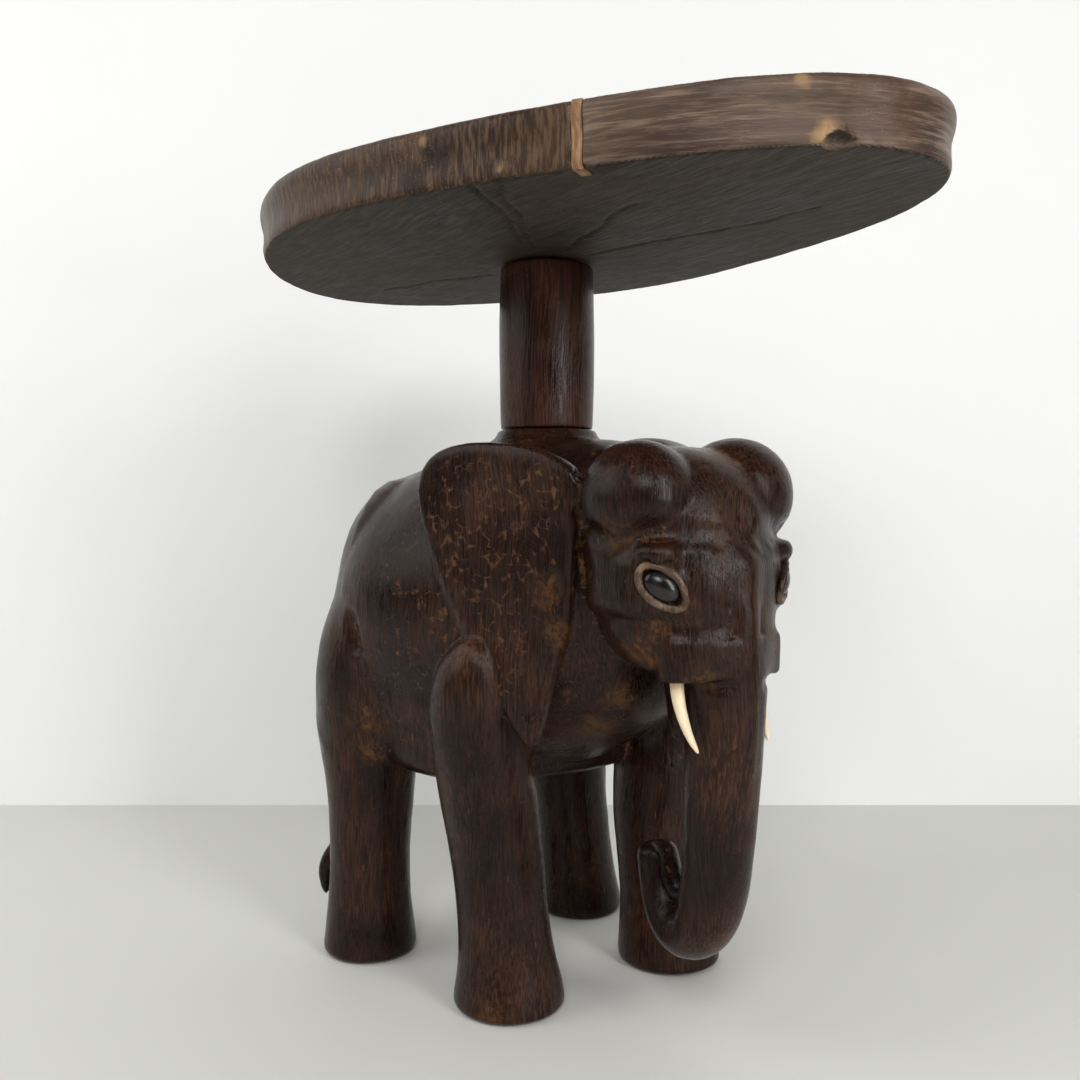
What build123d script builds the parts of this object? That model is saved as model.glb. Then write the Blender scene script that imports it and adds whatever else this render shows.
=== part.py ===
from build123d import *
import math
import os

# A small pedestal table: an elephant carved from one log carries a turned post and an oval board.
# Millimetres, +Z up, the elephant looks along +X and its left side is +Y.

os.makedirs("parts", exist_ok=True)

# body of the elephant
belly_height = 120.0         # floor to the underside of the belly
back_height = 323.0          # floor to the top of the back
rump_reach = 130.0           # post axis back to the rump
chest_reach = 112.0          # post axis forward to the chest
body_half_width = 111.0
body_power = 2.7             # 2 is an ellipse, more is boxier
tail_radius = 6.0
tuft_height = 27.0           # floor to the end of the tail

# legs: where each sole stands, and how thick it is
fore_feet = {-1: (40.0, -53.0), 1: (45.0, 61.5)}       # forward and left of the post axis
hind_feet = {-1: (-72.0, -87.0), 1: (-53.0, 65.0)}
foot_radius = 31.0
ankle_radius = 25.5
ankle_height = 42.0
shoulder_height = 214.0
haunch_height = 270.0
haunch_half_width = 36.0

# head, trunk and ears
skull_centre = 120.0         # forward of the post axis
skull_half_width = 55.0
crown_height = 311.0
dome_reach = (128.0, 31.0, 283.0)
dome_radii = (31.0, 28.0, 32.0)
chin_height = 156.0
collar_centre = 156.0        # raised lip around the root of the trunk
collar_bottom = 197.0
collar_height = 17.0
trunk_root_radius = 21.5
trunk_tip_radius = 9.0
trunk_low = 62.0             # height of the trunk's centre at the bottom of its curl
trunk_back = 108.0           # how far forward the curled tip stands
ear_front = (108.0, 56.0)    # where the ear leaves the head
ear_back = (-5.0, 100.0)     # where its rear corner lies on the flank
ear_top = 316.0
ear_bottom = 154.0
ear_thickness = 15.0

# eyes and tusks
eye_place = (154.0, 43.0, 246.0)
eye_facing = (0.74, 0.66, -0.06)
eye_radius = 6.5
eye_seat_depth = 4.0
eye_dome = 2.4
eyelid_stand = 3.0           # how far the lids stand round the bead
tusk_length = 36.0
tusk_radius = 3.6
tusk_off_trunk = 1.9         # air between a tusk and the trunk
tusk_root = (152.0, trunk_root_radius + tusk_radius + tusk_off_trunk)
collar_past_tusk = 3.4
collar_radii = (24.0, tusk_root[1] + tusk_radius + collar_past_tusk)
tusk_forward = 12.0          # how far the point curves forward
tusk_peg_radius = 2.8
tusk_peg_length = 12.0

# post
post_radius = 28.3
post_swell = 1.0             # the post is fuller in the middle
post_height = 100.5
post_foot = 328.0            # height of the seam on the back
boss_radius = 30.0
boss_flare = 16.0            # how far the foot of the flare stands out
boss_height = 22.0
dowel_radius = 8.0
dowel_in_back = 26.0
dowel_in_post = 24.0
dowel_in_board = 14.0

# board
board_half_length = 220.0
board_half_width = 132.5
board_centre = (40.0, -30.5)
board_thickness = 30.0
rim_swell = 1.4              # the upper edge stands out beyond the lower edge
filler_width = 5.0
filler_depth = 11.0
filler_place = (164.0, -97.0)     # on the rim
filler_turn = 121.0               # degrees, the way inwards from there
chip_place = (249.0, -27.0)
chip_radius = 8.0

# clearances
glue_gap = 0.1
bottom_gap = 1.0             # air left under a dowel's end

post_top = post_foot + post_height


def power_curve(angle, power):
    side = math.copysign(abs(math.cos(angle)) ** (2 / power), math.cos(angle))
    rise = math.copysign(abs(math.sin(angle)) ** (2 / power), math.sin(angle))
    return side, rise


def ring(half_a, half_b, power=2.0, count=12):
    points = []
    for step in range(count):
        side, rise = power_curve(2 * math.pi * (step + 0.5) / count, power)
        points.append((half_a * side, half_b * rise))
    return make_face(Spline(*points, periodic=True))


def level(centre, height, radii, power=2.0):
    return Plane((centre[0], centre[1], height)) * ring(radii[0], radii[1], power)


def mirrored(point, side):
    return (point[0], side * point[1]) + tuple(point[2:])


def ellipsoid(centre, radii):
    ball = scale(Sphere(1.0), by=radii)
    return Pos(*centre) * ball


def torso():
    # a barrel, widest over the hind legs
    # each row: share of the length, share of the width, shares of the height at belly and back
    rows = [(0.0, 0.30, 0.24, 0.62), (0.05, 0.64, 0.12, 0.80), (0.16, 0.93, 0.04, 0.93),
            (0.31, 1.0, 0.0, 0.99), (0.52, 0.87, 0.0, 1.0), (0.72, 0.70, 0.06, 0.99),
            (0.89, 0.56, 0.17, 0.96), (1.0, 0.40, 0.32, 0.88)]
    length = rump_reach + chest_reach
    tall = back_height - belly_height
    sections = []
    for along, wide, low, high in rows:
        middle = belly_height + tall * (low + high) / 2
        plane = Plane((along * length - rump_reach, 0, middle), x_dir=(0, 1, 0), z_dir=(1, 0, 0))
        sections.append(plane * ring(body_half_width * wide, tall * (high - low) / 2, body_power))
    return loft(sections)


def fore_leg(side):
    foot = fore_feet[side]
    knee = (foot[0] - 4, foot[1] + side * 2)
    elbow = (foot[0] - 5, foot[1] + side * 13)
    top = (foot[0] + 4, foot[1] + side * 18)
    rows = [(foot, 0, (foot_radius, foot_radius)),
            (foot, ankle_height * 0.22, (foot_radius * 0.97, foot_radius * 0.97)),
            (foot, ankle_height, (ankle_radius, ankle_radius)),
            (knee, belly_height * 0.7, (ankle_radius + 0.5, ankle_radius + 0.5)),
            (elbow, belly_height + 30, (ankle_radius + 5, ankle_radius + 3)),
            (top, shoulder_height - 20, (ankle_radius, ankle_radius - 2)),
            (top, shoulder_height, (ankle_radius * 0.4, ankle_radius * 0.4))]
    return loft([level(*row) for row in rows])


def hind_leg(side):
    foot = hind_feet[side]
    top = (foot[0] + 4, foot[1] - side * 26)
    thigh = (foot[0] - 3, foot[1] + side * 2)
    rows = [(foot, 0, (foot_radius, foot_radius)),
            (foot, ankle_height * 0.22, (foot_radius * 0.97, foot_radius * 0.97)),
            (foot, ankle_height, (ankle_radius, ankle_radius)),
            (foot, belly_height * 0.8, (ankle_radius + 2, ankle_radius + 1)),
            (thigh, belly_height + 30, (ankle_radius + 12, haunch_half_width - 3)),
            (foot, belly_height + 70, (ankle_radius + 15, haunch_half_width)),
            (top, haunch_height, (ankle_radius, ankle_radius * 0.7))]
    return loft([level(*row) for row in rows])


def skull():
    # each row: height, how far the centre stands from the skull's centre, half length and half width
    rows = [(chin_height, 0, 9, 10), (chin_height + 14, 1, 20, 21), (collar_bottom - 5, 2, 30, 28),
            (collar_bottom + 18, 8, 45, 44), (245, 3, 48, skull_half_width - 3),
            (275, 1, 47, skull_half_width), (crown_height - 14, -3, 45, skull_half_width - 6),
            (crown_height, -9, 28, skull_half_width - 27)]
    sections = [level((skull_centre + shift, 0), height, (half_long, half_wide), 2.3)
                for height, shift, half_long, half_wide in rows]
    return loft(sections)


def collar():
    lip = level((collar_centre, 0), collar_bottom, collar_radii)
    root = level((collar_centre - 8, 0), collar_bottom + collar_height,
                 (collar_radii[0] + 2, collar_radii[1] - 2))
    top = level((collar_centre - 14, 0), collar_bottom + collar_height + 22,
                (collar_radii[0] + 4, collar_radii[1] - 4))
    return loft([lip, root, top])


def trunk():
    bottom = (collar_centre - 20, trunk_low)
    tip = (trunk_back - 1, trunk_low + 40)
    # each row: forward, up, radius as a share of the way from root to tip
    rows = [(collar_centre, collar_bottom + 12, 0.0), (collar_centre + 1, 175, 0.05),
            (collar_centre + 1, 135, 0.14), (collar_centre - 2, trunk_low + 36, 0.26),
            (collar_centre - 9, trunk_low + 14, 0.34), (bottom[0], bottom[1], 0.46),
            (tip[0] + 13, trunk_low + 3, 0.68), (tip[0] + 3, trunk_low + 19, 0.84), (tip[0], tip[1], 1.0)]
    sections = []
    for place, (forward, up, share) in enumerate(rows):
        before = rows[max(place - 1, 0)]
        after = rows[min(place + 1, len(rows) - 1)]
        heading = (after[0] - before[0], 0, after[1] - before[1])
        radius = trunk_root_radius + (trunk_tip_radius - trunk_root_radius) * share
        plane = Plane((forward, 0, up), x_dir=(0, 1, 0), z_dir=heading)
        sections.append(plane * ring(radius, radius))
    # the straight part and the two stretches of the curl are lofted by themselves and share a section
    return loft(sections[:4]) + loft(sections[3:6]) + loft(sections[5:])


def ear(side):
    front = Vector(*mirrored(ear_front, side), 0)
    back = Vector(*mirrored(ear_back, side), 0)
    reach = (back - front).length
    tall = ear_top - ear_bottom
    # each point: share of the way back from the head, share of the way up from the lowest tip
    outline = [(-0.08, 0.86), (0.13, 0.955), (0.35, 0.995), (0.62, 1.0), (0.82, 0.97), (0.895, 0.89),
               (0.885, 0.79), (0.78, 0.58), (0.68, 0.42), (0.56, 0.28), (0.38, 0.07), (0.27, 0.01),
               (0.20, 0.12), (0.11, 0.30), (0.04, 0.46), (0.02, 0.66)]
    along = (back - front).normalized()
    across = along.cross(Vector(0, 0, 1))
    plane = Plane(origin=front + Vector(0, 0, ear_bottom), x_dir=along, z_dir=across)
    face = plane * make_face(Spline(*[(reach * s, tall * z) for s, z in outline], periodic=True))
    return extrude(face, amount=ear_thickness, dir=across * -side)


def tail():
    hock = hind_feet[-1]
    root = Vector(-rump_reach + 2, -6, 232)
    path = [root, Vector(-rump_reach - 5, -24, 192), Vector(-rump_reach + 2, -52, 156),
            Vector(hock[0] - 36, hock[1] - 1, 116), Vector(hock[0] - 30, hock[1] - 11, tuft_height + 36),
            Vector(hock[0] - 32, hock[1] - 16, tuft_height)]
    radii = [tail_radius, tail_radius, tail_radius * 0.85, tail_radius * 0.8, tail_radius * 1.2, 1.5]
    sections = []
    for place, (point, radius) in enumerate(zip(path, radii)):
        heading = path[min(place + 1, len(path) - 1)] - path[max(place - 1, 0)]
        sections.append(Plane(point, x_dir=(0, 1, 0), z_dir=heading) * ring(radius, radius, 2.0, 8))
    return loft(sections)


def boss():
    # a hollow flare that runs out of the back up to the seam
    low = post_foot - boss_height
    wide = boss_radius + boss_flare
    flare = ThreePointArc((wide, low), (boss_radius + boss_flare * 0.25, low + boss_height * 0.45),
                          (boss_radius, post_foot))
    edges = Polyline((boss_radius, post_foot), (0, post_foot), (0, low), (wide, low))
    return revolve(Plane.XZ * make_face(flare + edges), Axis.Z)


def eye_plane(side):
    facing = mirrored(eye_facing, side)
    return Plane(mirrored(eye_place, side), z_dir=facing)


def eyelids(side):
    return eye_plane(side) * Pos(0, 0, -14) * Sphere(14 + eyelid_stand)


def eye_bead(side, gap=0.0):
    # a short plug with a domed face
    radius = eye_radius + gap
    plug = Pos(0, 0, -eye_seat_depth / 2) * Cylinder(radius, eye_seat_depth)
    curve = (eye_radius ** 2 + eye_dome ** 2) / (2 * eye_dome)
    ball = Pos(0, 0, eye_dome - curve) * Sphere(curve)
    above = Pos(0, 0, eye_dome) * Cylinder(eye_radius, 2 * eye_dome)
    return eye_plane(side) * (plug + (ball & above))


def eye_socket(side):
    deep = eye_seat_depth + eyelid_stand + 4
    hole = Pos(0, 0, deep / 2 - eye_seat_depth) * Cylinder(eye_radius + glue_gap, deep)
    return eye_plane(side) * hole


def tusk_place(side, share):
    bend = tusk_forward * share ** 1.6
    drop = tusk_length * share
    return Vector(tusk_root[0] + bend, side * (tusk_root[1] - 2 * share), collar_bottom - drop)


def tusk(side):
    shares = [(0.0, 1.0), (0.3, 0.96), (0.6, 0.78), (0.85, 0.5), (1.0, 0.2)]
    sections = []
    for share, thick in shares:
        heading = tusk_place(side, share + 0.02) - tusk_place(side, max(share - 0.02, 0))
        heading = Vector(0, 0, -1) if share == 0 else heading
        plane = Plane(tusk_place(side, share), x_dir=(0, 1, 0), z_dir=heading)
        sections.append(plane * Circle(tusk_radius * thick))
    return loft(sections)


def tusk_peg(side, gap=0.0, extra=0.0):
    length = tusk_peg_length + extra
    place = Pos(tusk_root[0], side * tusk_root[1], collar_bottom + length / 2)
    return place * Cylinder(tusk_peg_radius + gap, length)


def dowel(low, high, gap=0.0):
    return Pos(0, 0, (low + high) / 2) * Cylinder(dowel_radius + gap, high - low)


def base_dowel():
    return dowel(post_foot - dowel_in_back, post_foot + dowel_in_post)


def top_dowel():
    return dowel(post_top - dowel_in_post, post_top + dowel_in_board)


def head():
    whole = skull()
    for side in (-1, 1):
        whole = whole + ellipsoid(mirrored(dome_reach, side), dome_radii) + eyelids(side)
    return whole + collar() + trunk()


def body():
    whole = torso() + boss()
    for side in (-1, 1):
        whole = whole + fore_leg(side) + hind_leg(side) + ear(side)
    return whole + tail()


def elephant_carving():
    # one block of wood: body and head are one piece before the seats and bores are cut
    carving = body() + head()
    for side in (-1, 1):
        carving = carving - eye_socket(side) - tusk_peg(side, glue_gap, bottom_gap)
    return carving - dowel(post_foot - dowel_in_back, post_foot + 5, glue_gap)


def post():
    rows = [(0.0, post_radius), (0.35, post_radius + post_swell), (0.65, post_radius + post_swell),
            (1.0, post_radius - 0.3)]
    body = loft([Plane((0, 0, post_foot + share * post_height)) * Circle(radius) for share, radius in rows])
    lower = dowel(post_foot - 5, post_foot + dowel_in_post + bottom_gap, glue_gap)
    upper = dowel(post_top - dowel_in_post, post_top + 5, glue_gap)
    return body - lower - upper


def board_outline(height, grow):
    # a hand-shaped oval, broad at the back: shares of the half length and of the half width
    points = [(1.0, 0.31), (0.955, 0.57), (0.795, 0.79), (0.50, 0.94), (0.14, 1.0), (-0.18, 0.985),
              (-0.50, 0.80), (-0.775, 0.52), (-0.955, 0.17), (-0.99, -0.19), (-0.865, -0.555),
              (-0.545, -0.90), (-0.18, -1.0), (0.205, -0.82), (0.605, -0.465), (0.89, -0.095)]
    long, wide = board_half_length + grow, board_half_width + grow
    outline = Spline(*[(long * along, wide * across) for along, across in points], periodic=True)
    return Pos(board_centre[0], board_centre[1], height) * make_face(outline)


def board_blank():
    # each row: share of the thickness, how far the edge stands out
    rows = [(0.0, -1.2), (0.08, 0.0), (0.4, -0.2), (0.7, rim_swell), (0.9, rim_swell), (1.0, -0.4)]
    return loft([board_outline(post_top + share * board_thickness, grow) for share, grow in rows])


def filler_block(gap):
    block = Box(2 * filler_depth - gap, filler_width - 2 * gap, board_thickness * 1.5)
    place = Pos(filler_place[0], filler_place[1], post_top + board_thickness / 2)
    return place * Rot(0, 0, filler_turn) * Pos(-gap / 2, 0, 0) * block


def rim_filler(blank):
    return blank & filler_block(glue_gap)


def top_board(blank):
    board = blank - filler_block(0)
    board = board - dowel(post_top - 5, post_top + dowel_in_board + bottom_gap, glue_gap)
    chip = Pos(chip_place[0], chip_place[1], post_top - chip_radius * 0.25) * Sphere(chip_radius)
    return board - chip


def all_parts():
    blank = board_blank()
    parts = {"elephant_carving": elephant_carving(), "post": post(), "top_board": top_board(blank),
             "rim_filler": rim_filler(blank), "base_dowel": base_dowel(), "top_dowel": top_dowel()}
    for name, side in (("right", -1), ("left", 1)):
        parts["tusk_" + name] = tusk(side) + tusk_peg(side)
        parts["eye_" + name] = eye_bead(side)
    return parts


def main():
    # the origin is on the floor, under the middle of the whole table
    parts = all_parts()
    low, high = overall_box(parts)
    middle = Pos(-(low[0] + high[0]) / 2, -(low[1] + high[1]) / 2, 0)
    for name, shape in parts.items():
        export_step(middle * shape, "parts/" + name + ".step")
    print("post axis", round(middle.position.X, 2), round(middle.position.Y, 2))


def overall_box(parts):
    boxes = [shape.bounding_box() for shape in parts.values()]
    low = [min(getattr(box.min, axis) for box in boxes) for axis in "XYZ"]
    high = [max(getattr(box.max, axis) for box in boxes) for axis in "XYZ"]
    return low, high


main()
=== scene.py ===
import bpy
import math
import numpy
import random
from mathutils import Matrix, Vector


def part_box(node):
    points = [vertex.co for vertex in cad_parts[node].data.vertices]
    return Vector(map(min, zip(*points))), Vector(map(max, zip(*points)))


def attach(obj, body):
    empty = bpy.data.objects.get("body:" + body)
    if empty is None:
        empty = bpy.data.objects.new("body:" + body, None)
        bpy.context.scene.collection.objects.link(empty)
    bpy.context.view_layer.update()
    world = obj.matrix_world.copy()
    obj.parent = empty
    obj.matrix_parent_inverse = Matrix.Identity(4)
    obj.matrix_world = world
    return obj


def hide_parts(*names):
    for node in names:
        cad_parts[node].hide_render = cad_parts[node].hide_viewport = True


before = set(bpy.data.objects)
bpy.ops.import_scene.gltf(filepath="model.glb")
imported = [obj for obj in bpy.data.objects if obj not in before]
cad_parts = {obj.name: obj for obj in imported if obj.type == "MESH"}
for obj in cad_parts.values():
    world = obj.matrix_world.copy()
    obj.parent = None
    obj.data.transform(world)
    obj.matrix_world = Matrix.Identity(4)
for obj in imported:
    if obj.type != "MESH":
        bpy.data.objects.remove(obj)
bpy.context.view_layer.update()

random.seed(7)

postLow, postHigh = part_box("post")
boardLow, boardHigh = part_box("top_board")
postX = (postLow[0] + postHigh[0]) / 2
postY = (postLow[1] + postHigh[1]) / 2
mm = 0.001


def at(forward, left, up):
    # millimetres from the foot of the post axis on the floor, forward along the elephant
    return Vector((postX + forward * mm, postY + left * mm, up * mm))


def deselect():
    if bpy.context.object and bpy.context.object.mode != "OBJECT":
        bpy.ops.object.mode_set(mode="OBJECT")
    bpy.ops.object.select_all(action="DESELECT")


def pick(piece):
    deselect()
    piece.select_set(True)
    bpy.context.view_layer.objects.active = piece


def settle(piece):
    # the piece's place goes into its mesh
    pick(piece)
    bpy.ops.object.transform_apply(location=True, rotation=True, scale=True)


def editAll(piece):
    pick(piece)
    bpy.ops.object.mode_set(mode="EDIT")
    bpy.ops.mesh.select_mode(type="VERT")
    bpy.ops.mesh.select_all(action="SELECT")


def objectMode():
    bpy.ops.object.mode_set(mode="OBJECT")


def nearLine(piece, path, reach, facing=None):
    # True for the vertices within reach of a line of points, and on the wanted side
    count = len(piece.data.vertices)
    places = numpy.empty(count * 3)
    piece.data.vertices.foreach_get("co", places)
    places = places.reshape(count, 3)
    nearest = numpy.full(count, 1e9)
    for start, end in zip(path, path[1:]):
        line = numpy.array(end - start)
        first = numpy.array(start)
        share = numpy.clip((places - first) @ line / (line @ line), 0, 1)
        apart = places - first - share[:, None] * line
        nearest = numpy.minimum(nearest, numpy.linalg.norm(apart, axis=1))
    chosen = nearest < reach * mm
    if facing:
        normals = numpy.empty(count * 3)
        piece.data.vertices.foreach_get("normal", normals)
        chosen &= normals.reshape(count, 3) @ numpy.array(facing) > 0
    return chosen


def chooseVerts(piece, chosen):
    # leaves edit mode with only the wanted vertices selected
    editAll(piece)
    bpy.ops.mesh.select_all(action="DESELECT")
    objectMode()
    piece.data.vertices.foreach_set("select", chosen)
    bpy.ops.object.mode_set(mode="EDIT")


def press(piece, path, reach, soften, depth, facing=None):
    # pushes a soft line into the surface, or raises it with a depth below zero
    chosen = nearLine(piece, path, reach, facing)
    if not chosen.any():
        print("nothing to press", path[0])
        return
    chooseVerts(piece, chosen)
    bpy.ops.transform.shrink_fatten(value=-depth * mm, use_proportional_edit=True,
                                    proportional_edit_falloff="SMOOTH", proportional_size=soften * mm)
    objectMode()


def useModifier(piece, kind, **settings):
    pick(piece)
    modifier = piece.modifiers.new(kind.title(), kind)
    for name, value in settings.items():
        setattr(modifier, name, value)
    bpy.ops.object.modifier_apply(modifier=modifier.name)


def joinPieces(pieces, name):
    deselect()
    for piece in pieces:
        piece.select_set(True)
    bpy.context.view_layer.objects.active = pieces[0]
    bpy.ops.object.join()
    joined = bpy.context.object
    joined.name = name
    return joined


def ringTube(name, sides, rings):
    # rings: (centre, half size across the ring, half width left to right, lean forward in degrees)
    # a level ring has lean 0, and a ring that faces forward has lean 90
    deselect()
    bpy.ops.mesh.primitive_circle_add(vertices=sides, radius=mm, fill_type="NGON", location=(0, 0, 0))
    piece = bpy.context.object
    piece.name = name
    bpy.ops.object.mode_set(mode="EDIT")
    bpy.ops.mesh.select_mode(type="FACE")
    bpy.ops.mesh.select_all(action="SELECT")
    before = (Vector((0, 0, 0)), 1.0, 1.0, 0.0)
    for place, ring in enumerate(rings):
        centre, across, wide, lean = ring
        oldCentre, oldAcross, oldWide, oldLean = before
        if place:
            bpy.ops.mesh.extrude_region_move()
        if oldLean:
            bpy.ops.transform.rotate(value=math.radians(oldLean), orient_axis="Y", center_override=oldCentre)
        bpy.ops.transform.resize(value=(across / oldAcross, wide / oldWide, 1), center_override=oldCentre)
        if lean:
            bpy.ops.transform.rotate(value=-math.radians(lean), orient_axis="Y", center_override=oldCentre)
        bpy.ops.transform.translate(value=centre - oldCentre)
        before = ring
    bpy.ops.mesh.select_all(action="SELECT")
    bpy.ops.mesh.normals_make_consistent(inside=False)
    objectMode()
    return piece


def ball(name, centre, size, turn=(0, 0, 0), segments=32):
    deselect()
    bpy.ops.mesh.primitive_uv_sphere_add(segments=segments, ring_count=segments // 2, radius=mm)
    piece = bpy.context.object
    piece.name = name
    piece.scale = size
    piece.rotation_euler = [math.radians(angle) for angle in turn]
    piece.location = centre
    settle(piece)
    return piece


def mirrorCopy(piece, name):
    # the left twin of a right piece, across the middle of the elephant
    twin = piece.copy()
    twin.data = piece.data.copy()
    twin.name = name
    bpy.context.collection.objects.link(twin)
    pick(twin)
    bpy.ops.object.mode_set(mode="EDIT")
    bpy.ops.mesh.select_all(action="SELECT")
    bpy.ops.transform.resize(value=(1, -1, 1), center_override=at(0, 0, 0))
    bpy.ops.mesh.normals_make_consistent(inside=False)
    objectMode()
    return twin


def plate(name, outline, thickness, rounding, soft=True):
    # a flat piece with a rounded edge, lying across the origin, its outline in millimetres
    deselect()
    bpy.ops.curve.primitive_bezier_circle_add(radius=mm)
    piece = bpy.context.object
    piece.name = name
    curve = piece.data
    curve.splines.clear()
    edge = curve.splines.new("NURBS" if soft else "POLY")
    edge.points.add(len(outline) - 1)
    for point, (across, up) in zip(edge.points, outline):
        point.co = (across * mm, up * mm, 0, 1)
    edge.use_cyclic_u = True
    edge.order_u = 3
    curve.dimensions = "2D"
    curve.fill_mode = "BOTH"
    curve.bevel_depth = rounding * mm
    curve.bevel_resolution = 3
    curve.extrude = (thickness / 2 - rounding) * mm
    curve.offset = -rounding * mm
    bpy.ops.object.convert(target="MESH")
    editAll(piece)
    bpy.ops.mesh.remove_doubles(threshold=0.02 * mm)
    bpy.ops.mesh.normals_make_consistent(inside=False)
    objectMode()
    return piece


def levelPlate(name, halfOutline, low, high, rounding):
    # halfOutline: forward, left of the middle on the right side, mirrored to the left
    outline = [(x, -y) for x, y in halfOutline] + [(x, y) for x, y in reversed(halfOutline)]
    piece = plate(name, outline, high - low, rounding)
    piece.location = at(0, 0, (high + low) / 2)
    settle(piece)
    return piece


print("helpers ready")

torsoSize = {
    # forward, height of the middle, half height, half width
    "stations": [(-131, 208, 32, 28), (-126, 208, 60, 58), (-112, 211, 84, 88), (-86, 216, 98, 108),
                 (-52, 219, 102, 113), (-15, 222, 102, 104), (20, 223, 100, 90), (50, 228, 94, 77),
                 (80, 235, 84, 65), (102, 238, 72, 54), (114, 237, 52, 39)],
    "sides": 24,
}


def buildTorso():
    rings = [(at(x, 0, z), tall, wide, 90) for x, z, tall, wide in torsoSize["stations"]]
    return ringTube("torso", torsoSize["sides"], rings)


bellySize = {
    # the flanks hang deep: forward, height of the middle, half height, half width
    "stations": [(-92, 170, 30, 60), (-78, 168, 46, 84), (-50, 166, 50, 94), (-15, 166, 50, 90),
                 (15, 168, 46, 78), (40, 172, 36, 62), (56, 178, 24, 44)],
    "sides": 20,
}


def buildBelly():
    rings = [(at(x, -2, z), tall, wide, 90) for x, z, tall, wide in bellySize["stations"]]
    return ringTube("belly", bellySize["sides"], rings)


foreLegSize = {
    # how far the leg stands forward and outward of its foot, height, half length, half width
    "stations": [(0, 0, 0.3, 31, 31), (0, 0, 3, 32.4, 32.4), (0, 0, 11, 31.2, 31.2),
                 (-0.5, 0, 25, 28.4, 28.2), (-1.5, 1, 44, 26.6, 26.2), (-3, 2, 70, 26.6, 26.2),
                 (-5, 4, 96, 27.8, 26.8),
                 (-6, 8, 122, 30, 28), (-6, 12, 146, 30, 28), (-5, 17, 170, 29.5, 26),
                 (-1, 21, 190, 25, 20), (4, 22, 204, 16, 13), (7, 21, 211, 7, 7)],
    "foot": {-1: (40.5, -53.5), 1: (45.5, 61.5)},
    "sway": {-1: (-3, -1.5), 1: (-7, -6)},
    "sides": 20,
}

hindLegSize = {
    "stations": [(0, 0, 0.3, 28.6, 28.6), (0, 0, 3, 30, 30), (0, 0, 11, 29.2, 29.2), (0, 0, 25, 27, 27),
                 (0, 0, 44, 25.6, 25.6), (-1, -1, 70, 25.8, 25.8), (-2, -2, 96, 27.5, 27.5),
                 (-3, -2, 122, 31.5, 30.5), (-5, -1, 148, 36, 33), (-5, -2, 174, 40, 35),
                 (-3, -7, 200, 41, 37), (1, -17, 226, 41, 38), (7, -30, 252, 35, 34), (12, -40, 270, 20, 20)],
    "foot": {-1: (-72, -87), 1: (-52.5, 64.5)},
    "sway": {-1: (-2, 1), 1: (-9, -2)},
    "sides": 20,
}


def buildLeg(name, size, side):
    footX, footY = size["foot"][side]
    swayX, swayY = size["sway"][side]
    rings = []
    for x, y, z, long, wide in size["stations"]:
        share = min(z / 90, 1)
        rings.append((at(footX + x + swayX * share, footY + side * y + swayY * share, z), long, wide, 0))
    return ringTube(name, size["sides"], rings)


skullSize = {
    # height, forward, half length, half width
    "stations": [(197, 136, 20, 22), (198.5, 135, 27, 29), (203, 132, 34, 36), (210, 129.5, 40, 42),
                 (221, 127, 45.5, 47), (237, 125, 48.5, 50), (254, 123, 50, 53), (270, 121, 49.5, 54),
                 (286, 118, 47.5, 51), (299, 115, 44, 45), (308, 110, 38, 36), (314, 103, 27, 22)],
    "sides": 28,
}


def buildSkull():
    rings = [(at(x, 0, z), long, wide, 0) for z, x, long, wide in skullSize["stations"]]
    return ringTube("skull", skullSize["sides"], rings)


trunkSize = {
    # forward, height, half size front to back, half width, how far the ring has turned
    "stations": [(155, 216, 21, 27, 0), (155.5, 200, 21.2, 22.4, 0), (155.5, 182, 20.6, 20.2, 0),
                 (155, 160, 19.8, 19.2, 1), (154, 138, 19, 18.6, 4), (152.5, 116, 18.2, 18.2, 7),
                 (150.5, 97, 17.8, 17.8, 14), (147.5, 80, 17.2, 17.2, 27), (141.5, 66, 16.6, 16.6, 50),
                 (131.5, 58.5, 15.6, 15.6, 80), (121, 59.5, 14.2, 14.4, 110), (113, 68, 12.6, 13.2, 136),
                 (108, 79, 11.2, 12.3, 158), (105, 90.5, 10.4, 11.8, 168), (103, 101, 9.8, 11.4, 173)],
    "sides": 24,
}


def buildTrunk():
    rings = [(at(x, 1.2, z), deep, wide + 0.7, lean) for x, z, deep, wide, lean in trunkSize["stations"]]
    return ringTube("trunk", trunkSize["sides"], rings)


jawSize = {
    # height, forward, half length, half width
    "stations": [(212, 128, 18, 18), (198, 128, 16, 13), (186, 128, 13.5, 9.5), (174, 127, 10.5, 8),
                 (164, 126, 7.5, 6.5), (158, 125.5, 4, 4)],
    "sides": 16,
}


def buildJaw():
    rings = [(at(x, 0, z), long, wide, 0) for z, x, long, wide in jawSize["stations"]]
    return ringTube("jaw", jawSize["sides"], rings)


def buildCollar():
    # the raised lip round the root of the trunk, with a crisp lower edge
    outline = [(177.5, 0), (172.5, -15), (166, -27), (159, -37), (152, -39), (145, -36), (139, -22), (138, 0),
               (142, 22), (150, 32), (158, 34.5), (165.5, 31), (168, 24), (173, 14)]
    collar = plate("collar", outline, 22, 2.4)
    collar.location = at(0, 0, 208)
    settle(collar)
    return collar


def buildFacePlane():
    # the flat sides of the face meet in a soft keel
    outline = [(175.5, 3), (171, 13), (164, 28), (158, 41), (150, 49), (138, 52.5), (118, 53), (98, 46)]
    return levelPlate("face_plane", outline, 226, 262, 9)


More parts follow.
